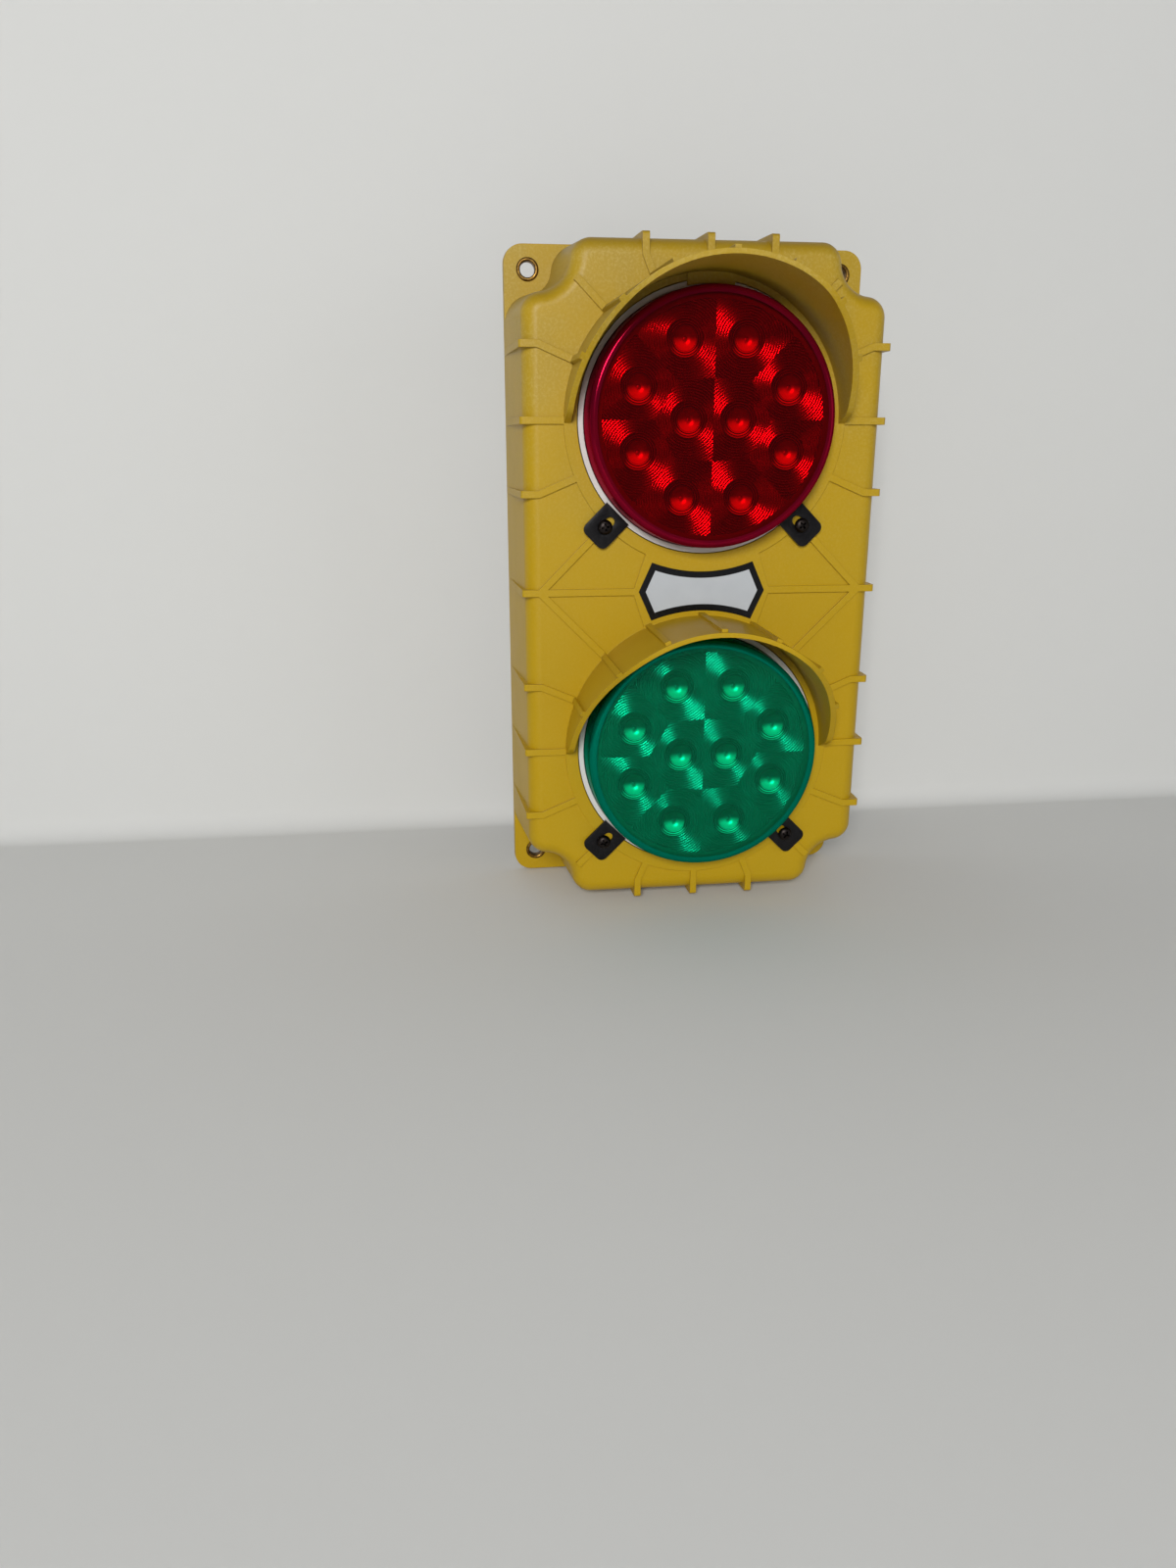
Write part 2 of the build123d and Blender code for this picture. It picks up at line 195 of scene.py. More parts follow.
def setDown(name, part, places, turns, material):
    # places in lying millimetres, turns in degrees
    points = bpy.data.meshes.new("places")
    points.from_pydata([tuple(p) for p in places], [], [])
    turn = points.attributes.new("turn", "FLOAT", "POINT")
    turn.data.foreach_set("value", [math.radians(t) for t in turns])
    mesh = grow(copies, {"Part": part, "Finish": material}, points)
    bm = bmesh.new()
    bm.from_mesh(mesh)
    piece = meshObject(name, bm)
    piece.data.materials.append(material)
    bpy.data.objects.remove(part)
    return piece


# Camera: the photo's place and angle, worked out from the housing's corners

cameraPlace = {
    "position": (-0.1160, -0.5431, 0.0624),
    "turn": (73.08, 0.02, -7.53),
    "lens": 25.59,
}
cameraData = bpy.data.cameras.new("viewCamera")
cameraData.lens = cameraPlace["lens"]
cameraData.sensor_width = 36.0
camera = linkedObject("viewCamera", cameraData)
camera.location = cameraPlace["position"]
camera.rotation_euler = [math.radians(a) for a in cameraPlace["turn"]]
bpy.context.scene.camera = camera
print("camera placed")


# Stage: pale floor that turns up into a wall a little behind the light

stage = {
    "colour": "#d7d7d4",
    "roughness": 0.9,
    "floorDrop": 0.0004,
    "wallBehind": 0.078,
    "cove": 0.012,
    "coveSteps": 8,
    "halfWidth": 4.0,
    "forward": 1.6,
    "wallTop": 4.0,
}


def buildStage():
    floorZ = cadLow.z - stage["floorDrop"]
    wallY = cadHigh.y + stage["wallBehind"]
    cove = stage["cove"]
    side = [(-stage["forward"], floorZ)]
    side += arcPoints((wallY - cove, floorZ + cove), cove, -90, 0, stage["coveSteps"])
    side.append((wallY, stage["wallTop"]))
    bm = bmesh.new()
    rows = [
        [bm.verts.new((x, y, z)) for y, z in side]
        for x in (-stage["halfWidth"], stage["halfWidth"])]
    for k in range(len(side) - 1):
        bm.faces.new((rows[0][k], rows[1][k], rows[1][k + 1], rows[0][k + 1]))
    for face in bm.faces:
        face.smooth = True
    sweep = linkedObject("stageSweep", toMesh("stageSweep", bm))
    material, tree, shader = startMaterial("matt paper sweep")
    shader.inputs["Base Color"].default_value = linearColour(stage["colour"])
    shader.inputs["Roughness"].default_value = stage["roughness"]
    # seen through from behind, so that the back of the light can be looked at
    clear = addNode(tree, "ShaderNodeBsdfTransparent")
    facing = addNode(tree, "ShaderNodeNewGeometry")
    oneSided = addNode(tree, "ShaderNodeMixShader", {
        0: facing.outputs["Backfacing"], 1: shader.outputs["BSDF"], 2: clear.outputs["BSDF"]})
    tree.links.new(oneSided.outputs["Shader"], tree.nodes["Material Output"].inputs["Surface"])
    sweep.data.materials.append(material)


buildStage()


# Lights: a soft lamp behind, above and left of the camera, weak ones overhead and on the right

softLamps = [
    {"name": "keyLamp", "place": (-0.48, -1.88, 0.70), "size": 0.55, "watts": 29.0},
    {"name": "topLamp", "place": (-0.1, -0.6, 1.7), "size": 1.2, "watts": 0.4},
    {"name": "fillLamp", "place": (1.5, -1.5, 0.3), "size": 1.0, "watts": 3.2},
]
worldLight = {
    "overhead": "#5c5e62",
    "horizon": "#606164",
    "heights": (0.05, 0.7),
}


def buildLights():
    aim = (cadLow + cadHigh) / 2
    for lamp in softLamps:
        data = bpy.data.lights.new(lamp["name"], "AREA")
        data.shape = "SQUARE"
        data.size = lamp["size"]
        data.energy = lamp["watts"]
        light = linkedObject(lamp["name"], data)
        light.location = lamp["place"]
        light.rotation_euler = (aim - light.location).to_track_quat("-Z", "Y").to_euler()
    world = bpy.data.worlds.new("softRoom")
    world.use_nodes = True
    tree = world.node_tree
    heading = addNode(tree, "ShaderNodeTexCoord").outputs["Generated"]
    height = addNode(tree, "ShaderNodeSeparateXYZ", {0: heading})
    rise = addNode(tree, "ShaderNodeMapRange", {
        "Value": height.outputs["Z"], "From Min": worldLight["heights"][0],
        "From Max": worldLight["heights"][1]}, interpolation_type="SMOOTHSTEP")
    room = addNode(tree, "ShaderNodeMix", {
        0: rise.outputs["Result"], 6: linearColour(worldLight["horizon"]),
        7: linearColour(worldLight["overhead"])}, data_type="RGBA")
    tree.links.new(room.outputs[2], tree.nodes["Background"].inputs["Color"])
    bpy.context.scene.world = world


buildLights()
bpy.context.scene.view_settings.view_transform = "Standard"
print("stage and lights ready")


# Housing: polycarbonate, injection moulded in a spark-eroded tool, so it is satin with a fine grain

housingLook = {
    "colour": "#b89300",
    "paler": "#b4930a",
    "mottleMm": 26.0,
    # painted sheen: its colour, the heights it rises over, its share and its patches
    "faded": "#aa9040",
    "fadeHeights": (-0.03, 0.2),
    "fadeShare": 0.72,
    "patchNoise": (0.38, 0.62),
    "fadeBetweenPatches": 0.35,
    # painted shade on the up-facing top, deepening the colour there
    "grime": "#705800",
    "grimeSlopes": (0.2, 0.8),
    # painted glints: pale specks on the grain, their colour, size, noise range and share
    "speck": "#c8b060",
    "speckMm": 1.2,
    "speckNoise": (0.45, 0.68),
    "speckShare": (0.05, 0.6),
    "roughness": (0.36, 0.50),
    "ior": 1.58,
    "gloss": 0.22,
    "grainMm": 0.9,
    "grainDepthMm": 0.03,
    "edgeMm": 0.35,
    "mergeMm": 0.001,
    "sharpAngle": 24.0,
}


def mouldedYellow():
    look = housingLook
    material, tree, shader = startMaterial("spark-grained yellow polycarbonate")
    place = addNode(tree, "ShaderNodeTexCoord").outputs["Object"]
    mottle = addNode(tree, "ShaderNodeTexNoise", {
        "Vector": place, "Scale": 1000 / look["mottleMm"], "Detail": 3.0})
    body = addNode(tree, "ShaderNodeMix", {
        0: mottle.outputs["Fac"], 6: linearColour(look["colour"]),
        7: linearColour(look["paler"])}, data_type="RGBA")
    # a painted sheen: paler and hazier towards the top, in uneven patches,
    # all but what looks straight up, which gets a painted shade instead that deepens the colour
    height = addNode(tree, "ShaderNodeSeparateXYZ", {0: place})
    rise = addNode(tree, "ShaderNodeMapRange", {
        "Value": height.outputs["Z"], "From Min": look["fadeHeights"][0],
        "From Max": look["fadeHeights"][1],
        "To Max": look["fadeShare"]}, interpolation_type="SMOOTHSTEP")
    patches = addNode(tree, "ShaderNodeMapRange", {
        "Value": mottle.outputs["Fac"], "From Min": look["patchNoise"][0],
        "From Max": look["patchNoise"][1], "To Min": look["fadeBetweenPatches"]})
    slope = addNode(tree, "ShaderNodeNewGeometry").outputs["Normal"]
    facing = addNode(tree, "ShaderNodeSeparateXYZ", {0: slope})
    upward = addNode(tree, "ShaderNodeMapRange", {
        "Value": facing.outputs["Z"], "From Min": look["grimeSlopes"][0],
        "From Max": look["grimeSlopes"][1]})
    # the share of painted shade: what faces up, near the top
    film = addNode(tree, "ShaderNodeMath", {
        0: rise.outputs["Result"], 1: upward.outputs["Result"]}, operation="MULTIPLY")
    sheenReach = addNode(tree, "ShaderNodeMath", {
        0: rise.outputs["Result"], 1: film.outputs["Value"]}, operation="SUBTRACT")
    sheen = addNode(tree, "ShaderNodeMath", {
        0: sheenReach.outputs["Value"], 1: patches.outputs["Result"]}, operation="MULTIPLY")
    # mixes in the painted sheen
    withSheen = addNode(tree, "ShaderNodeMix", {
        0: sheen.outputs["Value"], 6: body.outputs[2],
        7: linearColour(look["faded"])}, data_type="RGBA")
    # painted glints: fine pale specks on the grain, more of them where the painted sheen lies
    specks = addNode(tree, "ShaderNodeTexNoise", {
        "Vector": place, "Scale": 1000 / look["speckMm"], "Detail": 1.0, "Roughness": 0.7})
    tips = addNode(tree, "ShaderNodeMapRange", {
        "Value": specks.outputs["Fac"], "From Min": look["speckNoise"][0],
        "From Max": look["speckNoise"][1]})
    many = addNode(tree, "ShaderNodeMapRange", {
        "Value": sheen.outputs["Value"], "To Min": look["speckShare"][0],
        "To Max": look["speckShare"][1]})
    share = addNode(tree, "ShaderNodeMath", {
        0: tips.outputs["Result"], 1: many.outputs["Result"]}, operation="MULTIPLY")
    speckled = addNode(tree, "ShaderNodeMix", {
        0: share.outputs["Value"], 6: withSheen.outputs[2],
        7: linearColour(look["speck"])}, data_type="RGBA")
    # the painted shade on the up-facing top
    colour = addNode(tree, "ShaderNodeMix", {
        0: film.outputs["Value"], 6: speckled.outputs[2],
        7: linearColour(look["grime"])}, data_type="RGBA")
    tree.links.new(colour.outputs[2], shader.inputs["Base Color"])
    worn = addNode(tree, "ShaderNodeMapRange", {
        "Value": mottle.outputs["Fac"], "To Min": look["roughness"][0],
        "To Max": look["roughness"][1]})
    tree.links.new(worn.outputs["Result"], shader.inputs["Roughness"])
    grain = addNode(tree, "ShaderNodeTexNoise", {
        "Vector": place, "Scale": 1000 / look["grainMm"], "Detail": 2.0, "Roughness": 0.6})
    edge = addNode(tree, "ShaderNodeBevel", {"Radius": look["edgeMm"] / 1000}, samples=6)
    bump = addNode(tree, "ShaderNodeBump", {
        "Height": grain.outputs["Fac"], "Normal": edge.outputs["Normal"],
        "Distance": look["grainDepthMm"] / 1000, "Strength": 1.0})
    tree.links.new(bump.outputs["Normal"], shader.inputs["Normal"])
    shader.inputs["IOR"].default_value = look["ior"]
    shader.inputs["Specular IOR Level"].default_value = look["gloss"]
    return material


def mergedCopy(name):
    # a CAD node's loose triangles joined up, in a mesh of their own
    bm = bmesh.new()
    bm.from_mesh(nodes[name].data)
    bmesh.ops.remove_doubles(bm, verts=bm.verts, dist=housingLook["mergeMm"] / 1000)
    return bm


def buildHousing():
    bm = mergedCopy("housing")
    bm.transform(standUp.inverted())
    shell = meshObject("housingShell", bm, sharpAngle=housingLook["sharpAngle"])
    shell.data.materials.append(mouldedYellow())
    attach(shell, "root")
    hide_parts("housing")


buildHousing()
print("housing ready")


# Lens: clear tinted acrylic cap from a polished mould, over a plate of ten Fresnel cells

lensShape = {
    "wall": 2.4,
    "draft": 2.5,
    "edgeRadius": 2.2,
    "edgeSteps": 8,
    "flatMargin": 0.2,
    "rimBand": 0.9,
    "steps": 192,
    "sharpAngle": 30.0,
}
cellShape = {
    "places": [(12.9, 31.5), (31.8, 12.9), (10.6, 0.0)],
    "domeRadius": 4.7,
    "domeDepth": 2.0,
    "domeSteps": 8,
    "dieRadius": 1.1,
    "dieHeight": 0.5,
    "dieSteps": 3,
    "lip": 0.1,
    "innerRings": {
        "Ring Count": 3, "Ring Pitch": 0.98, "Ring Height": 0.30, "Crest Share": 0.5,
        "Crest Flat": 0.08},
    "outerRings": {
        "Ring Count": 11, "Ring Pitch": 1.1, "Ring Height": 0.152, "Crest Share": 0.44,
        "Crest Flat": 0.09},
    "crestDrop": 0.01,
    "turnSteps": 72,
    "airGap": 0.15,
    "plateDepth": 3.0,
    "rimGap": 0.08,
    "plainBand": 2.9,
    "bandGap": 0.03,
    "bandSteps": 360,
    "rimStep": 3.0,
    "rimStepsEachWay": 14,
    "sharpAngle": 14.0,
}
# where the eye's glow sets in and where it is full: across and up the bowl, and out over the rings
glowShape = {
    "bowlHeight": (-0.25, 0.6),
    "notchDepth": 0.55,
    "notchAcross": (1.1, 0.3),
    "notchHeight": (-2.6, -1.0),
    "ringHeight": (0.35, 0.95),
    "ringNumber": (2.2, 0.4),
}


def ringsTree():
    tree, given, end = startTree("fresnelRings", {
        "Ring Count": "Int", "Turn Steps": "Int", "First Radius": "Float", "Ring Pitch": "Float",
        "Ring Height": "Float", "Crest Share": "Float", "Crest Flat": "Float",
        "Facet Finish": "Material"})
    seats = addNode(tree, "GeometryNodeMeshLine", {
        "Count": given["Ring Count"], "Offset": (0, 0, 0)})
    number = addNode(tree, "GeometryNodeInputIndex")
    radius = addNode(tree, "ShaderNodeMath", {
        0: number.outputs["Index"], 1: given["Ring Pitch"],
        2: given["First Radius"]}, operation="MULTIPLY_ADD")
    circle = addNode(tree, "GeometryNodeCurvePrimitiveCircle", {
        "Resolution": given["Turn Steps"], "Radius": 1.0})
    circles = addNode(tree, "GeometryNodeInstanceOnPoints", {
        "Points": seats.outputs["Mesh"], "Instance": circle.outputs["Curve"],
        "Scale": radius.outputs["Value"]})
    real = addNode(tree, "GeometryNodeRealizeInstances", {"Geometry": circles.outputs["Instances"]})
    crest = addNode(tree, "ShaderNodeMath", {
        0: given["Ring Pitch"], 1: given["Crest Share"]}, operation="MULTIPLY")
    crestEnd = addNode(tree, "ShaderNodeMath", {
        0: crest.outputs["Value"], 1: given["Crest Flat"]}, operation="ADD")
    up = addNode(tree, "ShaderNodeMath", {0: given["Ring Height"], 1: -1.0}, operation="MULTIPLY")
    foot = addNode(tree, "ShaderNodeCombineXYZ", {"X": given["Ring Pitch"]})
    top = addNode(tree, "ShaderNodeCombineXYZ", {
        "X": crest.outputs["Value"], "Y": up.outputs["Value"]})
    topEnd = addNode(tree, "ShaderNodeCombineXYZ", {
        "X": crestEnd.outputs["Value"], "Y": up.outputs["Value"]})
    ridge = addNode(tree, "GeometryNodeCurvePrimitiveQuadrilateral", {
        "Point 1": (0, 0, 0), "Point 2": foot.outputs["Vector"],
        "Point 3": topEnd.outputs["Vector"], "Point 4": top.outputs["Vector"]}, mode="POINTS")
    sweep = addNode(tree, "GeometryNodeCurveToMesh", {
        "Curve": real.outputs["Geometry"], "Profile Curve": ridge.outputs["Curve"]})
    solid = addNode(tree, "GeometryNodeRealizeInstances", {"Geometry": sweep.outputs["Mesh"]})
    finish = addNode(tree, "GeometryNodeSetMaterial", {
        "Geometry": solid.outputs["Geometry"], "Material": given["Facet Finish"]})
    tree.links.new(finish.outputs["Geometry"], end.inputs["Geometry"])
    return tree


rings = ringsTree()


def allCells():
    # the named cells and their mirror images
    cells = []
    for x, y in cellShape["places"]:
        for sx in (1, -1):
            for sy in ((1, -1) if y else (1,)):
                cells.append(Vector((sx * x, sy * y, 0)))
    return cells


def cellReach():
    reach = cellShape["domeRadius"]
    for group in ("innerRings", "outerRings"):
        reach += cellShape[group]["Ring Count"] * cellShape[group]["Ring Pitch"]
    return reach


def smooth(low, high, value):
    t = min(max((value - low) / (high - low), 0.0), 1.0)
    return t * t * (3 - 2 * t)


def eyeGlow(x, y):
    # the dome gathers light from above on its lower half, and the rings below it do less and less
    g = glowShape
    r = math.hypot(x, y)
    radius = cellShape["domeRadius"]
    if r <= radius:
        notch = smooth(*g["notchAcross"], abs(x)) * smooth(*g["notchHeight"], y)
        return smooth(*g["bowlHeight"], -y / radius) * (1 - g["notchDepth"] * notch)
    number = (r - radius) / cellShape["innerRings"]["Ring Pitch"] - 1
    return smooth(*g["ringHeight"], -y / r) * smooth(*g["ringNumber"], number)


def wholeCell(facets):
    # eye bowl with its small bump, and the ringed plate round it, crests just under height 0;
    # finishes are numbered 0 facets, 1 eye, 2 plain, 3 crest shade, a painted dark shade on the
    # crest flats
    s = cellShape
    bm = bmesh.new()
    start = s["domeRadius"]
    floor = s["innerRings"]["Ring Height"]
    for finish, group in ((1, "innerRings"), (0, "outerRings")):
        ring = s[group]
        old = set(bm.faces)
        bm.from_mesh(grow(rings, {
            **ring, "Turn Steps": s["turnSteps"], "First Radius": start, "Facet Finish": facets}))
        for face in set(bm.faces) - old:
            face.material_index = finish
        start += ring["Ring Count"] * ring["Ring Pitch"]
    bmesh.ops.recalc_face_normals(bm, faces=bm.faces)
    bmesh.ops.translate(bm, verts=bm.verts, vec=(0, 0, -floor - s["crestDrop"]))
    ringFaces = set(bm.faces)
    for face in ringFaces:
        centre = face.calc_center_median()
        # crest flats get the painted shade that marks the ring lines
        if abs(face.normal.z) > flatFacing and centre.z > -floor:
            face.material_index = 3
        elif face.material_index == 1 and face.normal.xy.dot(centre.xy) > 0:
            face.material_index = 0
    reach = cellReach()
    profile = []
    for i in range(s["dieSteps"] + 1):
        out = i / s["dieSteps"]
        bump = s["dieHeight"] * math.sqrt(1 - out ** 2)
        profile.append((s["dieRadius"] * out, -s["domeDepth"] + bump))
    for i in range(1, s["domeSteps"] + 1):
        out = i / s["domeSteps"]
        r = s["dieRadius"] + (s["domeRadius"] - s["dieRadius"]) * out
        profile.append((r, -s["domeDepth"] * (1 - out ** 2)))
    lip = s["domeRadius"] + s["lip"]
    profile += [
        (lip, 0), (lip, -floor), (reach, -floor), (reach, -s["plateDepth"]), (0, -s["plateDepth"])]
    lathe(bm, profile, steps=s["turnSteps"])
    for face in bm.faces:
        if face not in ringFaces:
            centre = face.calc_center_median()
            inBowl = centre.xy.length < s["domeRadius"] and centre.z > -s["plateDepth"]
            face.material_index = 1 if inBowl else 0
    glow = bm.verts.layers.float.new("glow")
    for vert in bm.verts:
        vert[glow] = eyeGlow(vert.co.x, vert.co.y)
    return bm


def trim(bm, point, direction):
    # cuts the solid at a plane, drops what lies beyond and closes the cut
    parts = bm.verts[:] + bm.edges[:] + bm.faces[:]
    cut = bmesh.ops.bisect_plane(
        bm, geom=parts, dist=cutMm, plane_co=point, plane_no=direction, clear_outer=True)
    rim = [part for part in cut["geom_cut"] if isinstance(part, bmesh.types.BMEdge)]
    if rim:
        bmesh.ops.holes_fill(bm, edges=rim, sides=0)


def addPlainFloor(bm, cells, reach, cellRim, rim):
    # the plain band along the rim and its wedges between the cells
    depth = cellShape["plateDepth"]
    count = cellShape["bandSteps"]
    turns = [2 * math.pi * i / count for i in range(count)]
    rays = [Vector((math.cos(t), math.sin(t), 0)) for t in turns]
    inner = []
    for ray in rays:
        far = 0.0
        for cell in cells:
            along = cell.dot(ray)
            gap = cell.length_squared - along ** 2
            if gap < reach ** 2:
                far = max(far, along + math.sqrt(reach ** 2 - gap))
        inner.append(min(far, cellRim) + cellShape["bandGap"])
    columns = [[bm.verts.new(ray * r + Vector((0, 0, z))) for r, z in (
        (near, 0), (rim, 0), (rim, -depth), (near, -depth))] for ray, near in zip(rays, inner)]
    for i in range(count):
        a, b = columns[i], columns[(i + 1) % count]
        for k in range(4):
            face = bm.faces.new((a[k], a[(k + 1) % 4], b[(k + 1) % 4], b[k]))
            face.material_index = 2


def lensSizes(colourName):
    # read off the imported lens, so that the cap and its plate follow it
    s = lensShape
    low, high = lyingBox(colourName + "_lens")
    lean = math.tan(math.radians(s["draft"]))
    radius = (high.x - low.x) / 2
    height = high.z - low.z
    floor = height - s["wall"]
    return {
        "centre": ((low + high) / 2).xy,
        "base": low.z,
        "radius": radius,
        "height": height,
        "floor": floor,
        "topRadius": radius - height * lean,
        "innerTop": radius - s["wall"] - floor * lean,
    }


def buildCap(colourName, front, wall):
    s = lensShape
    size = lensSizes(colourName)
    body = bmesh.new()
    # the band along the rim is opaque like the wall, because the wall stands under it
    flatEdge = size["topRadius"] - s["edgeRadius"] - s["flatMargin"]
    window = flatEdge - s["rimBand"]
    profile = [(0, size["height"]), (window, size["height"]), (flatEdge, size["height"])]
    profile += arcPoints(
        (size["topRadius"] - s["edgeRadius"], size["height"] - s["edgeRadius"]),
        s["edgeRadius"], 90, 0, s["edgeSteps"])
    profile += [
        (size["radius"], 0), (size["radius"] - s["wall"], 0),
        (size["innerTop"], size["floor"]), (0, size["floor"])]
    lathe(body, profile, steps=s["steps"])
    bmesh.ops.recalc_face_normals(body, faces=body.faces)
    for face in body.faces:
        centre = face.calc_center_median()
        across = abs(face.normal.z) > flatFacing and centre.z > size["floor"] / 2
        inFront = centre.z > (size["height"] + size["floor"]) / 2
        face.material_index = 0 if across and not (inFront and centre.xy.length > window) else 1
    bmesh.ops.translate(body, verts=body.verts, vec=(*size["centre"], size["base"]))
    cap = meshObject(colourName + "Lens", body, sharpAngle=s["sharpAngle"])
    cap.data.materials.append(front)
    cap.data.materials.append(wall)
    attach(cap, "root")
    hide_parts(colourName + "_lens")


def buildOptic(colourName, facets, eye, plain, line):
    s = cellShape
    size = lensSizes(colourName)
    rim = size["innerTop"] - s["rimGap"]
    cellRim = rim - s["plainBand"]
    reach = cellReach()
    cells = allCells()
    wholeMesh = toMesh("wholeCell", wholeCell(facets))
    body = bmesh.new()
    for cell in cells:
        bm = bmesh.new()
        bm.from_mesh(wholeMesh)
        bmesh.ops.translate(bm, verts=bm.verts, vec=cell)
        for other in cells:
            if other is not cell and (other - cell).length < 2 * reach:
                trim(bm, (other + cell) / 2, other - cell)
        if cell.length + reach > cellRim:
            heading = math.atan2(cell.y, cell.x)
            for i in range(-s["rimStepsEachWay"], s["rimStepsEachWay"] + 1):
                turn = heading + math.radians(s["rimStep"] * i)
                out = Vector((math.cos(turn), math.sin(turn), 0))
                trim(bm, out * cellRim, out)
        part = toMesh("part", bm)
        body.from_mesh(part)
        bpy.data.meshes.remove(part)
    addPlainFloor(body, cells, reach, cellRim, rim)
    bmesh.ops.recalc_face_normals(body, faces=body.faces)
    lift = size["base"] + size["floor"] - s["airGap"]
    bmesh.ops.translate(body, verts=body.verts, vec=(*size["centre"], lift))
    optic = meshObject(colourName + "Optic", body, sharpAngle=s["sharpAngle"])
    for material in (facets, eye, plain, line):
        optic.data.materials.append(material)
    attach(optic, "root")
    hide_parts(colourName + "_lens")


lensLooks = {
    "red": {
        "tint": "#e0082c",
        "through": "#fc90a8",
        "gleam": "#f08090",
        "side": "#8a0a20",
        "facet": "#680824",
        "facetMetal": 0.8,
        "dome": "#600818",
        "glow": "#ff3c40",
        "plain": "#5c0718",
        # painted dark shade on the ring crests
        "line": "#2c0210",
    },
    "green": {
        "tint": "#00cca0",
        "through": "#a0fcf4",
        "gleam": "#58c8a8",
        "side": "#007a60",
        "facet": "#006e58",
        "facetMetal": 0.3,
        "dome": "#006450",
        "glow": "#50ffd0",
        "plain": "#006c56",
        # painted dark shade on the ring crests
        "line": "#00261c",
    },
}
acrylic = {
    "ior": 1.49,
    "polish": 0.02,
    "wallRoughness": 0.15,
    "wallMetal": 0.6,
    "flowMm": 14.0,
    "facetRoughness": 0.2,
    "domeRoughness": 0.36,
    "domeMetal": 0.35,
    "plainRoughness": 0.3,
    "plainMetal": 0.3,
    "lineRoughness": 0.4,
}


def tintedAcrylic(colourName):
    # polished front: the eye looks through it, into the colour
    look = lensLooks[colourName]
    material, tree, shader = startMaterial("polished " + colourName + " acrylic")
    shader.inputs["Base Color"].default_value = linearColour(look["tint"])
    shader.inputs["Transmission Weight"].default_value = 1.0
    shader.inputs["Roughness"].default_value = acrylic["polish"]
    shader.inputs["IOR"].default_value = acrylic["ior"]
    shader.inputs["Specular Tint"].default_value = linearColour(look["gleam"])
    # the lamps' light goes straight through, tinted, on its way to the optic behind and back
    clear = addNode(tree, "ShaderNodeBsdfTransparent", {"Color": linearColour(look["through"])})
    path = addNode(tree, "ShaderNodeLightPath")
    mix = addNode(tree, "ShaderNodeMixShader", {
        0: path.outputs["Is Camera Ray"], 1: clear.outputs["BSDF"], 2: shader.outputs["BSDF"]})
    tree.links.new(mix.outputs["Shader"], tree.nodes["Material Output"].inputs["Surface"])
    return material


def acrylicWall(colourName):
    # looked at on its edge the acrylic is deep enough to hide what stands behind it, and light
    # that is turned back inside it comes out in its own colour, as from a tinted mirror
    look = lensLooks[colourName]
    material, tree, shader = startMaterial("polished " + colourName + " acrylic, seen on edge")
    place = addNode(tree, "ShaderNodeTexCoord").outputs["Object"]
    flow = addNode(tree, "ShaderNodeTexNoise", {
        "Vector": place, "Scale": 1000 / acrylic["flowMm"], "Detail": 1.0})
    colour = addNode(tree, "ShaderNodeMix", {
        0: flow.outputs["Fac"], 6: linearColour(look["side"]),
        7: linearColour(look["facet"])}, data_type="RGBA")
    tree.links.new(colour.outputs[2], shader.inputs["Base Color"])
    shader.inputs["Metallic"].default_value = acrylic["wallMetal"]
    shader.inputs["Roughness"].default_value = acrylic["wallRoughness"]
    shader.inputs["Specular Tint"].default_value = linearColour(look["gleam"])
    shader.inputs["Specular IOR Level"].default_value = 0.0
    return material


def eyeFinish(colourName):
    # the glow that the mesh carries lights up the lower half of each dome
    material, tree, shader = startMaterial(colourName + " acrylic dome")
    look = lensLooks[colourName]
    glow = addNode(tree, "ShaderNodeAttribute", attribute_name="glow")
    colour = addNode(tree, "ShaderNodeMix", {
        0: glow.outputs["Fac"], 6: linearColour(look["dome"]),
        7: linearColour(look["glow"])}, data_type="RGBA")
    tree.links.new(colour.outputs[2], shader.inputs["Base Color"])
    shader.inputs["Metallic"].default_value = acrylic["domeMetal"]
    shader.inputs["Roughness"].default_value = acrylic["domeRoughness"]
    return material


def opticFinish(colourName, key, metallic, roughness):
    # facets, plain floor and crest flats of the plate: the crest flats carry painted dark shade
    # lines, and the rings themselves make the rest of the pattern
    material, tree, shader = startMaterial(colourName + " acrylic " + key)
    shader.inputs["Base Color"].default_value = linearColour(lensLooks[colourName][key])
    shader.inputs["Metallic"].default_value = metallic
    shader.inputs["Roughness"].default_value = roughness
    return material


for colourName, look in lensLooks.items():
    buildCap(colourName, tintedAcrylic(colourName), acrylicWall(colourName))
    buildOptic(
        colourName,
        opticFinish(colourName, "facet", look["facetMetal"], acrylic["facetRoughness"]),
        eyeFinish(colourName),
        opticFinish(colourName, "plain", acrylic["plainMetal"], acrylic["plainRoughness"]),
        # the crest flats' painted shade lines
        opticFinish(colourName, "line", 0.0, acrylic["lineRoughness"]))
print("lenses ready")


# Clips: stamped steel, powder coated black, so speckled; the coat is thin on its edges, which the
# finish here leaves out

clipLook = {
    "colour": "#070608",
    "paler": "#1c191c",
    "speckMm": 0.8,
    "speckNoise": (0.48, 0.75),
    "grainMm": 0.45,
    "grainDepthMm": 0.025,
    "roughness": 0.3,
    "gloss": 0.25,
    "edgeMm": 0.28,
    "edgeSteps": 3,
    "flatAngle": 1.0,
    "cornerAngle": 50.0,
}


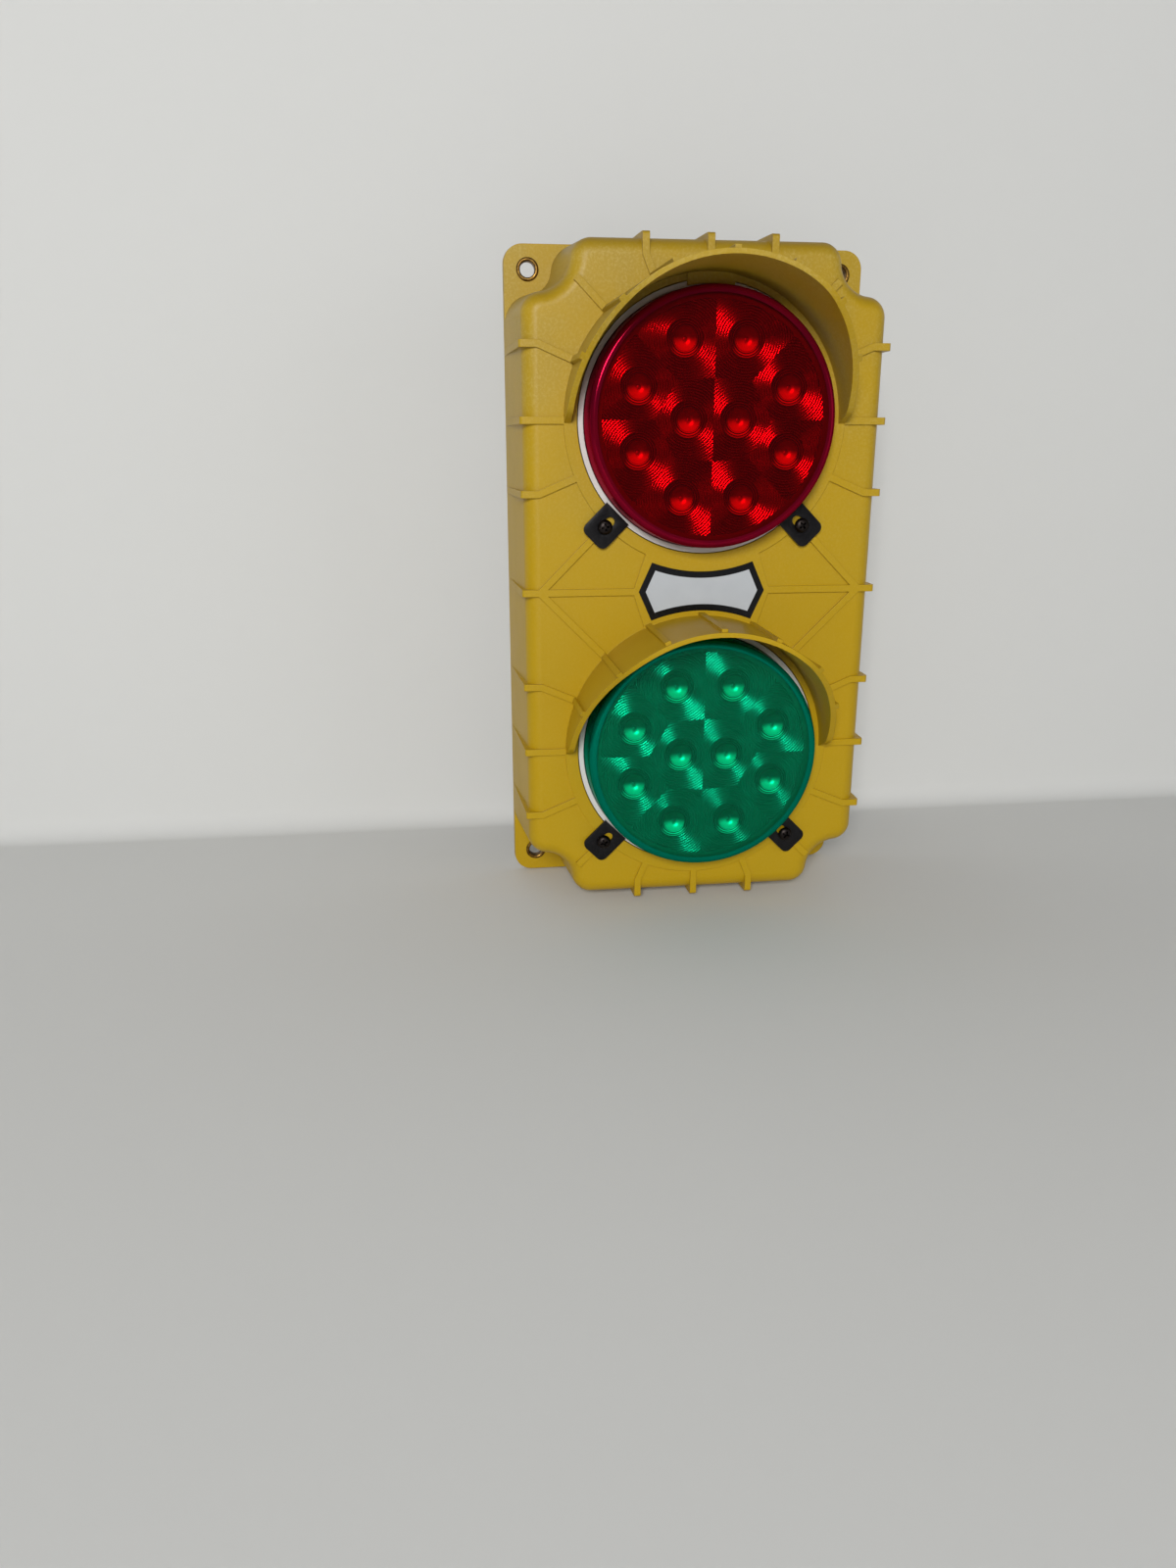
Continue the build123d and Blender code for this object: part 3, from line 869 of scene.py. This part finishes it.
def powderCoat():
    look = clipLook
    material, tree, shader = startMaterial("black powder-coated steel")
    place = addNode(tree, "ShaderNodeTexCoord").outputs["Object"]
    specks = addNode(tree, "ShaderNodeTexNoise", {
        "Vector": place, "Scale": 1000 / look["speckMm"], "Detail": 3.0, "Roughness": 0.75})
    share = addNode(tree, "ShaderNodeMapRange", {
        "Value": specks.outputs["Fac"], "From Min": look["speckNoise"][0],
        "From Max": look["speckNoise"][1]})
    colour = addNode(tree, "ShaderNodeMix", {
        0: share.outputs["Result"], 6: linearColour(look["colour"]),
        7: linearColour(look["paler"])}, data_type="RGBA")
    tree.links.new(colour.outputs[2], shader.inputs["Base Color"])
    grain = addNode(tree, "ShaderNodeTexNoise", {
        "Vector": place, "Scale": 1000 / look["grainMm"], "Detail": 2.0})
    bump = addNode(tree, "ShaderNodeBump", {
        "Height": grain.outputs["Fac"], "Distance": look["grainDepthMm"] / 1000, "Strength": 1.0})
    tree.links.new(bump.outputs["Normal"], shader.inputs["Normal"])
    shader.inputs["Roughness"].default_value = look["roughness"]
    shader.inputs["Specular IOR Level"].default_value = look["gloss"]
    return material


def buildClips():
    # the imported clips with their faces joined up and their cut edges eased
    coat = powderCoat()
    for name in nodes:
        if "_clip_" not in name or "screw" in name:
            continue
        bm = mergedCopy(name)
        bm.transform(standUp.inverted())
        bmesh.ops.dissolve_limit(
            bm, angle_limit=math.radians(clipLook["flatAngle"]), verts=bm.verts, edges=bm.edges)
        square = math.radians(clipLook["cornerAngle"])
        corners = [
            edge for edge in bm.edges if edge.is_manifold and edge.calc_face_angle(0) > square]
        bmesh.ops.bevel(
            bm, geom=corners, offset=clipLook["edgeMm"], segments=clipLook["edgeSteps"],
            profile=0.5, affect="EDGES", clamp_overlap=True)
        colourName, side = name.split("_clip_")
        clip = meshObject(colourName + "Clip" + side.capitalize(), bm, clipLook["cornerAngle"])
        clip.data.materials.append(coat)
        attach(clip, "root")
        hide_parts(name)


buildClips()


# Clip screws: pan heads with a cross recess, case-hardened steel, black oxide bath

screwShape = {
    "profile": [
        (0, 2.2), (1.2, 2.15), (2.2, 1.9), (2.9, 1.35), (3.2, 0.7), (3.2, 0.15), (3.05, 0),
        (1.75, 0), (1.75, -11.2), (1.2, -12), (0, -12)],
    "steps": 48,
    "recessTop": (3.9, 1.0, 2.3),
    "recessFloor": (1.7, 0.6, 0.6),
    "turns": (20.0, 65.0, 10.0, 40.0),
}
oxideLook = {
    "colour": "#1c1b1e",
    "browned": "#3a332f",
    "stainMm": 1.6,
    "roughness": (0.28, 0.55),
}


def crossOutline(bm, span, width, height):
    # twelve corners of a cross, anticlockwise
    a, b = span / 2, width / 2
    quarter = [(a, -b), (a, b), (b, b)]
    verts = []
    for i in range(4):
        c, d = (1, 0, -1, 0)[i], (0, 1, 0, -1)[i]
        verts += [bm.verts.new((x * c - y * d, x * d + y * c, height)) for x, y in quarter]
    return verts


def screwHead():
    # the lathe's blank, less a tapered cross
    blank = bmesh.new()
    lathe(blank, screwShape["profile"], steps=screwShape["steps"])
    bmesh.ops.recalc_face_normals(blank, faces=blank.faces)
    cutter = bmesh.new()
    top = crossOutline(cutter, *screwShape["recessTop"])
    floor = crossOutline(cutter, *screwShape["recessFloor"])
    cutter.faces.new(top)
    cutter.faces.new(floor[::-1])
    for i in range(len(top)):
        k = (i + 1) % len(top)
        cutter.faces.new((top[i], floor[i], floor[k], top[k]))
    bmesh.ops.recalc_face_normals(cutter, faces=cutter.faces)
    head = linkedObject("blank", toMesh("blank", blank))
    cross = linkedObject("cutter", toMesh("cutter", cutter))
    cut = head.modifiers.new("cut", "BOOLEAN")
    cut.operation = "DIFFERENCE"
    cut.solver = "EXACT"
    cut.object = cross
    depsgraph = bpy.context.evaluated_depsgraph_get()
    mesh = bpy.data.meshes.new_from_object(head.evaluated_get(depsgraph), depsgraph=depsgraph)
    head.modifiers.remove(cut)
    head.data = mesh
    bpy.data.objects.remove(cross)
    return head


def blackOxide():
    # hides the steel but keeps its gleam, browner where the oil has dried
    look = oxideLook
    material, tree, shader = startMaterial("black-oxide steel")
    place = addNode(tree, "ShaderNodeTexCoord").outputs["Object"]
    stain = addNode(tree, "ShaderNodeTexNoise", {
        "Vector": place, "Scale": 1000 / look["stainMm"], "Detail": 3.0})
    colour = addNode(tree, "ShaderNodeMix", {
        0: stain.outputs["Fac"], 6: linearColour(look["colour"]),
        7: linearColour(look["browned"])}, data_type="RGBA")
    tree.links.new(colour.outputs[2], shader.inputs["Base Color"])
    dull = addNode(tree, "ShaderNodeMapRange", {
        "Value": stain.outputs["Fac"], "To Min": look["roughness"][0],
        "To Max": look["roughness"][1]})
    tree.links.new(dull.outputs["Result"], shader.inputs["Roughness"])
    shader.inputs["Metallic"].default_value = 1.0
    return material


def setInPlace(pieceName, part, key, height, turns, material):
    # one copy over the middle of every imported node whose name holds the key
    names = [name for name in nodes if key in name]
    places = []
    for name in names:
        low, high = lyingBox(name)
        places.append(((low.x + high.x) / 2, (low.y + high.y) / 2, height))
    piece = setDown(pieceName, part, places, turns, material)
    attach(piece, "root")
    for name in names:
        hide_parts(name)


clipTop = lyingBox("red_clip_left")[1].z
setInPlace(
    "clipScrews", screwHead(), "clip_screw", clipTop, screwShape["turns"], blackOxide())


# Wall-hole eyelets: brass, rolled over on the front, gone brown indoors

eyeletShape = {
    "profile": [
        (3.3, 0), (3.3, 3.7), (3.42, 4.1), (3.7, 4.32), (4.1, 4.4), (4.55, 4.3), (4.88, 4.05),
        (5.0, 3.75), (4.95, 3.55), (4.8, 3.5), (3.9, 3.5), (3.9, 0), (3.3, 0)],
    "steps": 64,
    "turns": (0, 15, 30, 45),
}
brassLook = {
    "film": "#5c4220",
    "metal": "#a07c3c",
    "filmMm": 2.2,
    "filmNoise": (0.4, 0.7),
    "roughness": (0.48, 0.28),
}


def oldBrass():
    # a brown film over the brass, worn through to the metal in patches
    look = brassLook
    material, tree, shader = startMaterial("browned rolled brass")
    place = addNode(tree, "ShaderNodeTexCoord").outputs["Object"]
    film = addNode(tree, "ShaderNodeTexNoise", {
        "Vector": place, "Scale": 1000 / look["filmMm"], "Detail": 4.0, "Roughness": 0.65})
    share = addNode(tree, "ShaderNodeMapRange", {
        "Value": film.outputs["Fac"], "From Min": look["filmNoise"][0],
        "From Max": look["filmNoise"][1]})
    colour = addNode(tree, "ShaderNodeMix", {
        0: share.outputs["Result"], 6: linearColour(look["film"]),
        7: linearColour(look["metal"])}, data_type="RGBA")
    tree.links.new(colour.outputs[2], shader.inputs["Base Color"])
    dull = addNode(tree, "ShaderNodeMapRange", {
        "Value": share.outputs["Result"], "To Min": look["roughness"][0],
        "To Max": look["roughness"][1]})
    tree.links.new(dull.outputs["Result"], shader.inputs["Roughness"])
    shader.inputs["Metallic"].default_value = 1.0
    return material


def eyeletPart():
    bm = bmesh.new()
    lathe(bm, eyeletShape["profile"], steps=eyeletShape["steps"])
    bmesh.ops.recalc_face_normals(bm, faces=bm.faces)
    return linkedObject("eyelet", toMesh("eyelet", bm))


setInPlace(
    "wallEyelets", eyeletPart(), "bushing", 0.0, eyeletShape["turns"], oldBrass())
print("clips, screws and eyelets ready")


# Label: printed polyester film, a dark border round a bare field

labelShape = {
    "corner": (22.7, 12.78),
    "tip": 28.5,
    "arcCentre": 72.3,
    "arcRadius": 63.7,
    "border": 2.8,
    "steps": 24,
}
filmLooks = {
    "bare polyester film": {
        "colour": "#b4b9be", "clouded": "#c0c5c9", "roughness": 0.35, "gloss": 0.5},
    "black screen ink": {
        "colour": "#060607", "clouded": "#101013", "roughness": 0.24, "gloss": 0.25},
}
filmSurface = {"cloudMm": 9.0, "peelMm": 1.4, "peelDepthMm": 0.01}


def labelEdge(inset):
    # upper corner and tip of the outline, drawn inset from the edge of the film
    s = labelShape
    corner = Vector(s["corner"])
    run = Vector((s["tip"], 0)) - corner
    run.normalize()
    inward = Vector((run.y, -run.x))
    tipX = s["tip"] + inset * inward.x - inset * inward.y * run.x / run.y
    radius = s["arcRadius"] + inset
    toCentre = Vector((0, s["arcCentre"])) - Vector((tipX, 0))
    along = toCentre.dot(-run)
    back = along - math.sqrt(radius ** 2 - toCentre.length_squared + along ** 2)
    cornerX = (Vector((tipX, 0)) - run * back).x
    half = math.degrees(math.asin(cornerX / radius))
    arc = arcPoints((0, s["arcCentre"]), radius, -90 + half, -90 - half, s["steps"])
    return tipX, arc


def printedFilm(name):
    # ink and bare film share the film's faint orange peel
    look = filmLooks[name]
    material, tree, shader = startMaterial(name)
    place = addNode(tree, "ShaderNodeTexCoord").outputs["Object"]
    cloud = addNode(tree, "ShaderNodeTexNoise", {
        "Vector": place, "Scale": 1000 / filmSurface["cloudMm"], "Detail": 3.0})
    colour = addNode(tree, "ShaderNodeMix", {
        0: cloud.outputs["Fac"], 6: linearColour(look["colour"]),
        7: linearColour(look["clouded"])}, data_type="RGBA")
    tree.links.new(colour.outputs[2], shader.inputs["Base Color"])
    peel = addNode(tree, "ShaderNodeTexNoise", {
        "Vector": place, "Scale": 1000 / filmSurface["peelMm"], "Detail": 1.0})
    bump = addNode(tree, "ShaderNodeBump", {
        "Height": peel.outputs["Fac"], "Distance": filmSurface["peelDepthMm"] / 1000,
        "Strength": 1.0})
    tree.links.new(bump.outputs["Normal"], shader.inputs["Normal"])
    shader.inputs["Roughness"].default_value = look["roughness"]
    shader.inputs["Specular IOR Level"].default_value = look["gloss"]
    return material


def buildLabel():
    low, high = lyingBox("label")
    outerTip, outerArc = labelEdge(0.0)
    innerTip, innerArc = labelEdge(labelShape["border"])
    bm = bmesh.new()

    def loop(tip, arc, z):
        # right tip, upper arc to the left, left tip, lower arc back to the right
        flat = [(tip, 0)] + arc + [(-tip, 0)] + [(x, -y) for x, y in reversed(arc)]
        return [bm.verts.new((x, y, z)) for x, y in flat]

    bottom = loop(outerTip, outerArc, low.z)
    rim = loop(outerTip, outerArc, high.z)
    field = loop(innerTip, innerArc, high.z)
    count = len(rim)
    for i in range(count):
        k = (i + 1) % count
        bm.faces.new((bottom[i], bottom[k], rim[k], rim[i])).material_index = 1
        bm.faces.new((rim[i], rim[k], field[k], field[i])).material_index = 1
    arcCount = len(innerArc)
    for ring, flip in ((field, False), (bottom, True)):
        upper = ring[1:1 + arcCount]
        lower = ring[count - 1:count - 1 - arcCount:-1]
        faces = [(ring[0], upper[0], lower[0]), (ring[1 + arcCount], lower[-1], upper[-1])]
        for i in range(arcCount - 1):
            faces.append((upper[i], upper[i + 1], lower[i + 1], lower[i]))
        for corners in faces:
            bm.faces.new(corners[::-1] if flip else corners)
    bmesh.ops.recalc_face_normals(bm, faces=bm.faces)
    label = meshObject("labelFilm", bm)
    for name in filmLooks:
        label.data.materials.append(printedFilm(name))
    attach(label, "root")
    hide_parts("label")


buildLabel()
print("label ready")


# Lamp insides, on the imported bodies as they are

styreneLook = {
    "colour": "#e2dfdc",
    "warmer": "#cfc9c2",
    "driftMm": 18.0,
    "edgeMm": 0.4,
    "roughness": (0.15, 0.32),
    "ior": 1.54,
}
boardLook = {
    "coat": "#a9aba4",
    "overThread": "#bcbeb8",
    "threadMm": 6.3,
    "waver": 0.4,
    "roughness": 0.38,
}
ledLook = {
    "body": "#e6e4de",
    "phosphor": "#d8c85c",
    "thinPhosphor": "#ece09a",
    "powderMm": 0.4,
    "bodyShare": 0.6,
    "roughness": (0.45, 0.1),
    "ior": 1.41,
}
bladeLook = {
    "colour": "#b08c42",
    "rubbed": "#d8b260",
    "lineMm": 0.25,
    "stretch": (1.0, 0.08, 1.0),
    "roughness": (0.22, 0.4),
}


def glossyWhite():
    # styrene moulding: a milky white with a faint warm drift, glossy from the polished tool
    look = styreneLook
    material, tree, shader = startMaterial("moulded white styrene")
    place = addNode(tree, "ShaderNodeTexCoord").outputs["Object"]
    drift = addNode(tree, "ShaderNodeTexNoise", {
        "Vector": place, "Scale": 1000 / look["driftMm"], "Detail": 3.0})
    colour = addNode(tree, "ShaderNodeMix", {
        0: drift.outputs["Fac"], 6: linearColour(look["colour"]),
        7: linearColour(look["warmer"])}, data_type="RGBA")
    tree.links.new(colour.outputs[2], shader.inputs["Base Color"])
    edge = addNode(tree, "ShaderNodeBevel", {"Radius": look["edgeMm"] / 1000}, samples=6)
    tree.links.new(edge.outputs["Normal"], shader.inputs["Normal"])
    dull = addNode(tree, "ShaderNodeMapRange", {
        "Value": drift.outputs["Fac"], "To Min": look["roughness"][0],
        "To Max": look["roughness"][1]})
    tree.links.new(dull.outputs["Result"], shader.inputs["Roughness"])
    shader.inputs["IOR"].default_value = look["ior"]
    return material


def glassEpoxy():
    # solder mask over woven glass: the weave just shows through the white coat
    look = boardLook
    material, tree, shader = startMaterial("white solder mask on glass epoxy")
    place = addNode(tree, "ShaderNodeTexCoord").outputs["Object"]
    threads = []
    for direction in ("X", "Z"):
        threads.append(addNode(tree, "ShaderNodeTexWave", {
            "Vector": place, "Scale": 1000 / look["threadMm"],
            "Distortion": look["waver"]}, bands_direction=direction))
    weave = addNode(tree, "ShaderNodeMath", {
        0: threads[0].outputs["Fac"], 1: threads[1].outputs["Fac"]}, operation="MULTIPLY")
    colour = addNode(tree, "ShaderNodeMix", {
        0: weave.outputs["Value"], 6: linearColour(look["coat"]),
        7: linearColour(look["overThread"])}, data_type="RGBA")
    tree.links.new(colour.outputs[2], shader.inputs["Base Color"])
    shader.inputs["Roughness"].default_value = look["roughness"]
    return material


def ledPackage():
    # white body up to its share of the height, then the yellow phosphor under a clear cast window
    look = ledLook
    low, high = lyingBox("red_led_1")
    windowY = -(low.z + look["bodyShare"] * (high.z - low.z)) / 1000
    material, tree, shader = startMaterial("cast silicone over phosphor, white body")
    place = addNode(tree, "ShaderNodeTexCoord").outputs["Object"]
    depth = addNode(tree, "ShaderNodeSeparateXYZ", {0: place})
    window = addNode(tree, "ShaderNodeMath", {
        0: depth.outputs["Y"], 1: windowY}, operation="LESS_THAN")
    powder = addNode(tree, "ShaderNodeTexNoise", {
        "Vector": place, "Scale": 1000 / look["powderMm"], "Detail": 2.0})
    phosphor = addNode(tree, "ShaderNodeMix", {
        0: powder.outputs["Fac"], 6: linearColour(look["phosphor"]),
        7: linearColour(look["thinPhosphor"])}, data_type="RGBA")
    colour = addNode(tree, "ShaderNodeMix", {
        0: window.outputs["Value"], 6: linearColour(look["body"]),
        7: phosphor.outputs[2]}, data_type="RGBA")
    tree.links.new(colour.outputs[2], shader.inputs["Base Color"])
    gloss = addNode(tree, "ShaderNodeMapRange", {
        "Value": window.outputs["Value"], "To Min": look["roughness"][0],
        "To Max": look["roughness"][1]})
    tree.links.new(gloss.outputs["Result"], shader.inputs["Roughness"])
    shader.inputs["IOR"].default_value = look["ior"]
    return material


def stampedBrass():
    # drawn strip: long fine lines along the blade, brighter where the die has rubbed it
    look = bladeLook
    material, tree, shader = startMaterial("stamped brass strip")
    place = addNode(tree, "ShaderNodeTexCoord").outputs["Object"]
    drawn = addNode(tree, "ShaderNodeVectorMath", {
        0: place, 1: look["stretch"]}, operation="MULTIPLY")
    lines = addNode(tree, "ShaderNodeTexNoise", {
        "Vector": drawn.outputs["Vector"], "Scale": 1000 / look["lineMm"], "Detail": 2.0})
    colour = addNode(tree, "ShaderNodeMix", {
        0: lines.outputs["Fac"], 6: linearColour(look["colour"]),
        7: linearColour(look["rubbed"])}, data_type="RGBA")
    tree.links.new(colour.outputs[2], shader.inputs["Base Color"])
    dull = addNode(tree, "ShaderNodeMapRange", {
        "Value": lines.outputs["Fac"], "To Min": look["roughness"][0],
        "To Max": look["roughness"][1]})
    tree.links.new(dull.outputs["Result"], shader.inputs["Roughness"])
    shader.inputs["Metallic"].default_value = 1.0
    return material


def dressInsides():
    # by the node's name without its lamp, side and number: red_led_1 is a led
    finishes = {
        "lamp_base": glossyWhite(),
        "led_board": glassEpoxy(),
        "contact": stampedBrass(),
        "led": ledPackage(),
    }
    for name, node in nodes.items():
        kind = name.split("_", 1)[-1].rstrip("_0123456789")
        kind = kind.replace("_left", "").replace("_right", "")
        if kind in finishes:
            node.data.materials.clear()
            node.data.materials.append(finishes[kind])


dressInsides()
print("lamp insides ready")
